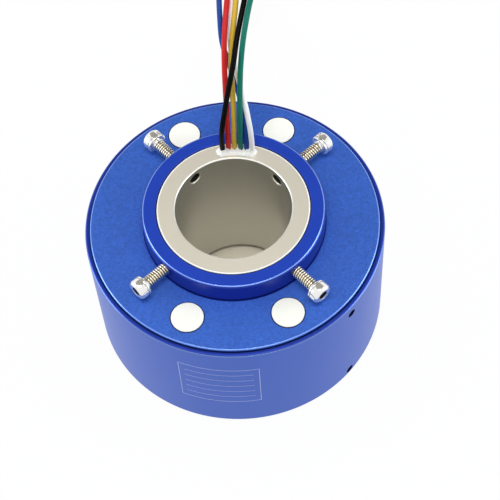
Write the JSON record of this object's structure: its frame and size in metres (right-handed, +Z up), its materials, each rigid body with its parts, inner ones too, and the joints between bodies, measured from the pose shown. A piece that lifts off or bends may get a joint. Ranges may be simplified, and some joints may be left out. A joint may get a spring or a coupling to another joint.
{
  "type": "slip ring",
  "caption": "Through-bore slip ring: a bored rotor tube with clamp collar and leads turns on ball bearings in a round blue housing.",
  "frame": {"origin": "centre of the housing's base, on the axis of rotation", "axes": "+Z up along the axis of rotation, towards the collar; +Y through the lead exit"},
  "size_m": [0.099, 0.2179, 0.1039],
  "materials": {
    "housing_anodised": "satin blue anodised aluminium",
    "cover_anodised": "bead-blasted blue anodised aluminium",
    "collar_anodised": "satin deep blue anodised aluminium",
    "tube_aluminium": "fine turned, natural",
    "screw_steel": "bright stainless",
    "plain_steel": "turned",
    "bearing_steel": "ground",
    "black_steel": "black oxide",
    "ring_brass": "turned",
    "brush_gold": "drawn gold alloy wire",
    "jumper_copper": "tinned copper wire",
    "cage_plastic": "moulded",
    "block_plastic": "glass-filled board",
    "insulator_plastic": "turned phenolic",
    "grommet_rubber": "moulded",
    "potting_resin": "cured resin",
    "seal_film": "printed film, plain",
    "lead_black": "fluoropolymer insulation",
    "lead_red": "fluoropolymer insulation",
    "lead_yellow": "fluoropolymer insulation",
    "lead_green": "fluoropolymer insulation",
    "lead_blue": "fluoropolymer insulation",
    "lead_white": "fluoropolymer insulation"
  },
  "bodies": {
    "stator": {"housing": "housing_anodised", "top_cover": "cover_anodised", "bottom_cover": "housing_anodised", "cover_seals": "seal_film", "post_screws_top": "screw_steel", "post_screws_bottom": "screw_steel", "brush_posts": "plain_steel", "top_cover_grub_screws": "black_steel", "bottom_cover_grub_screws": "black_steel", "stator_lead_grommet": "grommet_rubber", "front_brush_block": "block_plastic", "rear_brush_block": "block_plastic", "front_brushes": "brush_gold", "rear_brushes": "brush_gold", "upper_bearing_outer_race": "bearing_steel", "lower_bearing_outer_race": "bearing_steel"},
    "rotor": {"rotor_tube": "tube_aluminium", "collar": "collar_anodised", "distance_ring": "plain_steel", "stack_washer": "plain_steel", "circlip": "black_steel", "upper_bearing_inner_race": "bearing_steel", "lower_bearing_inner_race": "bearing_steel", "insulating_sleeve": "insulator_plastic", "slip_ring_1": "ring_brass", "slip_ring_2": "ring_brass", "slip_ring_3": "ring_brass", "slip_ring_4": "ring_brass", "slip_ring_5": "ring_brass", "slip_ring_6": "ring_brass", "insulator_1": "insulator_plastic", "insulator_2": "insulator_plastic", "insulator_3": "insulator_plastic", "insulator_4": "insulator_plastic", "insulator_5": "insulator_plastic", "insulator_6": "insulator_plastic", "insulator_7": "insulator_plastic", "ring_jumpers": "jumper_copper", "potting": "potting_resin", "lead_black": "lead_black", "lead_red": "lead_red", "lead_yellow": "lead_yellow", "lead_green": "lead_green", "lead_blue": "lead_blue", "lead_white": "lead_white"},
    "upper_ball_set": {"upper_bearing_cage": "cage_plastic", "upper_bearing_balls": "bearing_steel"},
    "lower_ball_set": {"lower_bearing_cage": "cage_plastic", "lower_bearing_balls": "bearing_steel"},
    "clamp_screw_1_body": {"clamp_screw_1": "screw_steel"},
    "clamp_screw_2_body": {"clamp_screw_2": "screw_steel"},
    "clamp_screw_3_body": {"clamp_screw_3": "screw_steel"},
    "clamp_screw_4_body": {"clamp_screw_4": "screw_steel"}
  },
  "joints": [
    {"name": "rotor_spin", "type": "hinge", "parent": "stator", "child": "rotor", "pos_m": [0, 0, 0], "axis": [0, 0, 1], "continuous": true},
    {"name": "upper_cage_spin", "type": "hinge", "parent": "stator", "child": "upper_ball_set", "pos_m": [0, 0, 0], "axis": [0, 0, 1], "continuous": true},
    {"name": "lower_cage_spin", "type": "hinge", "parent": "stator", "child": "lower_ball_set", "pos_m": [0, 0, 0], "axis": [0, 0, 1], "continuous": true},
    {"name": "clamp_screw_1_travel", "type": "slide", "parent": "rotor", "child": "clamp_screw_1_body", "axis": [-0.7071, -0.7071, 0], "range_m": [-0.006, 0.008]},
    {"name": "clamp_screw_2_travel", "type": "slide", "parent": "rotor", "child": "clamp_screw_2_body", "axis": [0.7071, -0.7071, 0], "range_m": [-0.006, 0.008]},
    {"name": "clamp_screw_3_travel", "type": "slide", "parent": "rotor", "child": "clamp_screw_3_body", "axis": [0.7071, 0.7071, 0], "range_m": [-0.006, 0.008]},
    {"name": "clamp_screw_4_travel", "type": "slide", "parent": "rotor", "child": "clamp_screw_4_body", "axis": [-0.7071, 0.7071, 0], "range_m": [-0.006, 0.008]}
  ],
  "couplings": [
    {"joint": "upper_cage_spin", "follows": "rotor_spin", "ratio": 0.46348},
    {"joint": "lower_cage_spin", "follows": "rotor_spin", "ratio": 0.46348}
  ]
}
